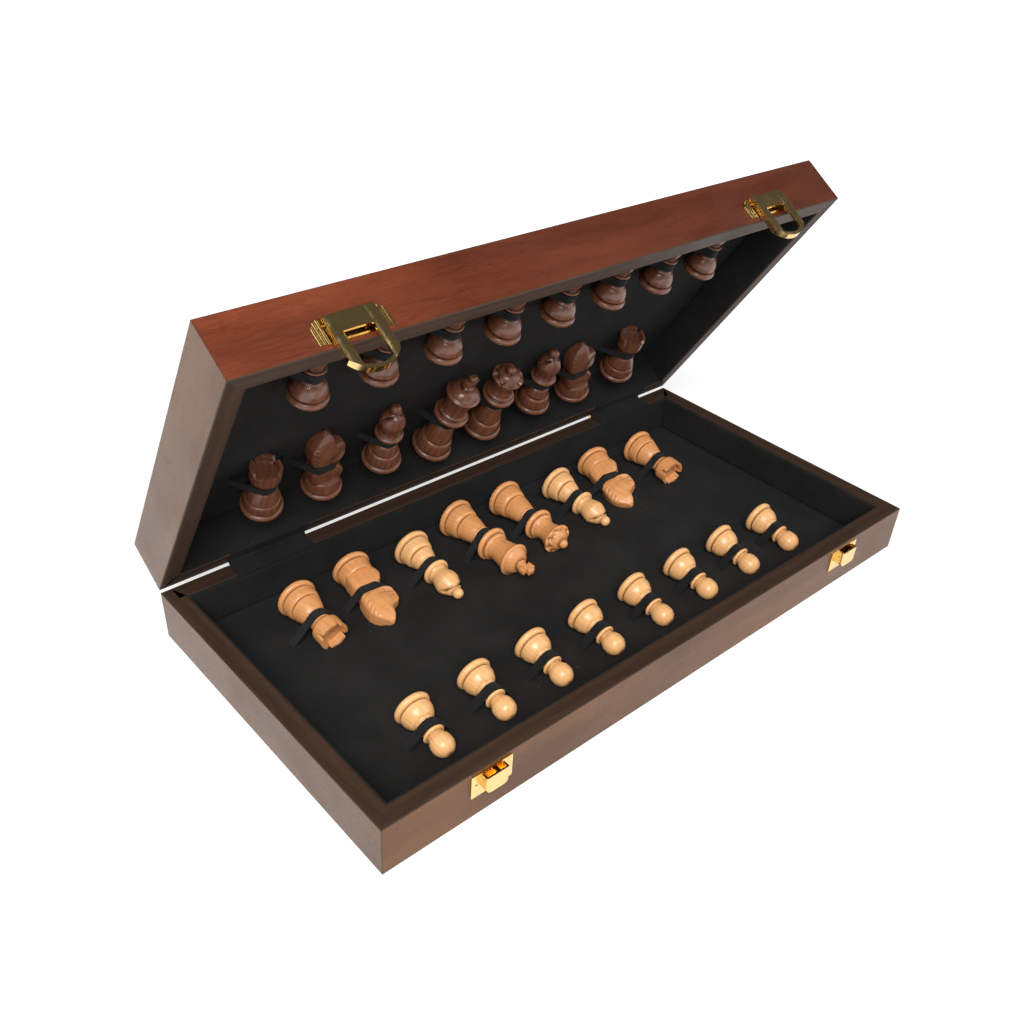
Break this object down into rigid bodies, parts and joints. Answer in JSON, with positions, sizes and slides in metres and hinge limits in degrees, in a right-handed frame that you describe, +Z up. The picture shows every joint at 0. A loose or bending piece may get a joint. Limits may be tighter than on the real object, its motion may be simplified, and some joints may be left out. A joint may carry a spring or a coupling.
{
  "type": "chess box with hinged lid",
  "caption": "Folding wooden chess case: two felt-lined trays with chessmen under elastic loops, brass hinges and swing catches, and a chequerboard outside.",
  "frame": {"origin": "centre of the underside of the base tray", "axes": "+X along the hinge line, +Y towards the hinges, +Z up; the catches are on the -Y side"},
  "size_m": [0.38, 0.2191, 0.2049],
  "materials": {
    "case_wood": "satin mahogany stain",
    "ply": "plain",
    "light_veneer": "satin",
    "dark_veneer": "satin",
    "felt": "felt",
    "elastic": "matt woven",
    "boxwood": "polished",
    "rosewood": "polished",
    "brass": "polished"
  },
  "bodies": {
    "base": {"base_front_rail": "case_wood", "base_back_rail": "case_wood", "base_left_rail": "case_wood", "base_right_rail": "case_wood", "base_board": "ply", "base_light_squares": "light_veneer", "base_dark_squares": "dark_veneer", "base_lining": "felt", "left_hinge_base_leaf": "brass", "left_hinge_pin": "brass", "right_hinge_base_leaf": "brass", "right_hinge_pin": "brass", "base_hinge_screws": "brass", "base_hinge_flaps": "felt", "left_strike": "brass", "right_strike": "brass", "strike_nails": "brass", "light_king": "boxwood", "light_queen": "boxwood", "light_kings_bishop": "boxwood", "light_queens_bishop": "boxwood", "light_kings_knight": "boxwood", "light_queens_knight": "boxwood", "light_kings_rook": "boxwood", "light_queens_rook": "boxwood", "light_pawns": "boxwood", "light_piece_loops": "elastic", "light_pawn_loops": "elastic"},
    "lid": {"lid_front_rail": "case_wood", "lid_back_rail": "case_wood", "lid_left_rail": "case_wood", "lid_right_rail": "case_wood", "lid_board": "ply", "lid_light_squares": "light_veneer", "lid_dark_squares": "dark_veneer", "lid_lining": "felt", "left_hinge_lid_leaf": "brass", "right_hinge_lid_leaf": "brass", "lid_hinge_screws": "brass", "lid_hinge_flaps": "felt", "left_catch_plate": "brass", "right_catch_plate": "brass", "catch_nails": "brass", "left_hasp_pin": "brass", "right_hasp_pin": "brass", "dark_king": "rosewood", "dark_queen": "rosewood", "dark_kings_bishop": "rosewood", "dark_queens_bishop": "rosewood", "dark_kings_knight": "rosewood", "dark_queens_knight": "rosewood", "dark_kings_rook": "rosewood", "dark_queens_rook": "rosewood", "dark_pawns": "rosewood", "dark_piece_loops": "elastic", "dark_pawn_loops": "elastic"},
    "left_hasp": {"left_hasp": "brass"},
    "right_hasp": {"right_hasp": "brass"}
  },
  "joints": [
    {"name": "lid_hinge", "type": "hinge", "parent": "base", "child": "lid", "pos_m": [0, 0.0965, 0.0286], "axis": [-1, 0, 0], "range_deg": [-57.4, 122.6]},
    {"name": "left_hasp_swing", "type": "hinge", "parent": "lid", "child": "left_hasp", "pos_m": [-0.132, 0.00259, 0.19882], "axis": [-1, 0, 0], "range_deg": [0, 120]},
    {"name": "right_hasp_swing", "type": "hinge", "parent": "lid", "child": "right_hasp", "pos_m": [0.132, 0.00259, 0.19882], "axis": [-1, 0, 0], "range_deg": [0, 120]}
  ]
}
